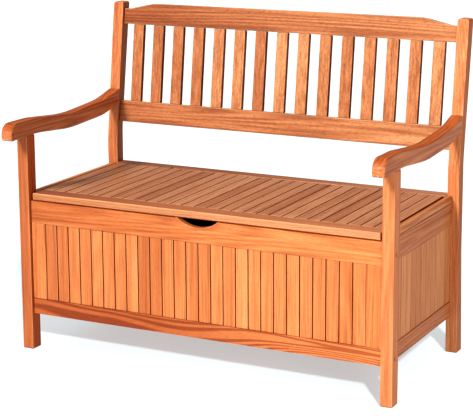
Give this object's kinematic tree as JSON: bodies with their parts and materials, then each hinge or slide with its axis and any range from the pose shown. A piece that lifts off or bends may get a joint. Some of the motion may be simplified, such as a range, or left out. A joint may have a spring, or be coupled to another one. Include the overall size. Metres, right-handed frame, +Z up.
{
  "type": "outdoor storage bench",
  "caption": "Slatted wooden bench with arms and a leaning slatted back, whose hinged seat lid opens a panelled storage box.",
  "frame": {"origin": "on the ground, under the middle of the bounding box", "axes": "+X to the sitter's left along the bench, -Y out of the front, +Z up"},
  "size_m": [1.08, 0.6164, 0.899],
  "materials": {
    "frame_wood": "oiled, satin orange-brown hardwood",
    "panel_wood": "oiled, satin orange-brown hardwood with swirling grain",
    "board_wood": "oiled, satin narrow boards that vary in tone",
    "lid_wood": "oiled, satin slats that vary from pale to dark",
    "back_wood": "oiled, satin orange-brown hardwood",
    "inner_wood": "thinly oiled, duller wood inside and behind",
    "hinge_metal": "darkened satin steel",
    "bolt_metal": "dark satin steel"
  },
  "bodies": {
    "bench_frame": {"front_apron": "panel_wood", "front_bottom_rail": "panel_wood", "rear_bottom_rail": "panel_wood", "front_boards": "board_wood", "rear_seat_board": "lid_wood", "back_top_rail": "back_wood", "back_lower_rail": "back_wood", "back_slat_01": "back_wood", "back_slat_02": "back_wood", "back_slat_03": "back_wood", "back_slat_04": "back_wood", "back_slat_05": "back_wood", "back_slat_06": "back_wood", "back_slat_07": "back_wood", "back_slat_08": "back_wood", "back_slat_09": "back_wood", "back_slat_10": "back_wood", "back_slat_11": "back_wood", "back_slat_12": "back_wood", "back_slat_13": "back_wood", "back_slat_14": "back_wood", "back_slat_15": "back_wood", "rear_apron": "inner_wood", "rear_boards": "inner_wood", "floor_boards": "inner_wood", "front_leg_left": "frame_wood", "front_leg_right": "frame_wood", "back_leg_left": "frame_wood", "back_leg_right": "frame_wood", "arm_left": "frame_wood", "arm_right": "frame_wood", "front_stile_left": "panel_wood", "front_stile_right": "panel_wood", "side_cap_left": "panel_wood", "side_cap_right": "panel_wood", "side_apron_left": "panel_wood", "side_apron_right": "panel_wood", "side_bottom_rail_left": "panel_wood", "side_bottom_rail_right": "panel_wood", "side_boards_left": "board_wood", "side_boards_right": "board_wood", "hinge_fixed_leaf_left": "hinge_metal", "hinge_fixed_leaf_right": "hinge_metal", "hinge_pin_left": "hinge_metal", "hinge_pin_right": "hinge_metal", "bolt_front_upper_left": "bolt_metal", "bolt_front_upper_right": "bolt_metal", "bolt_front_lower_left": "bolt_metal", "bolt_front_lower_right": "bolt_metal", "bolt_back_upper_left": "bolt_metal", "bolt_back_upper_right": "bolt_metal", "bolt_back_lower_left": "bolt_metal", "bolt_back_lower_right": "bolt_metal"},
    "lid": {"lid_front_board": "lid_wood", "lid_slats": "lid_wood", "lid_batten_front": "inner_wood", "lid_batten_rear": "inner_wood", "hinge_lid_leaf_left": "hinge_metal", "hinge_lid_leaf_right": "hinge_metal"}
  },
  "joints": [
    {"name": "lid_hinge", "type": "hinge", "parent": "bench_frame", "child": "lid", "pos_m": [0, 0.21361, 0.436], "axis": [-1, 0, 0], "range_deg": [0, 98]}
  ]
}
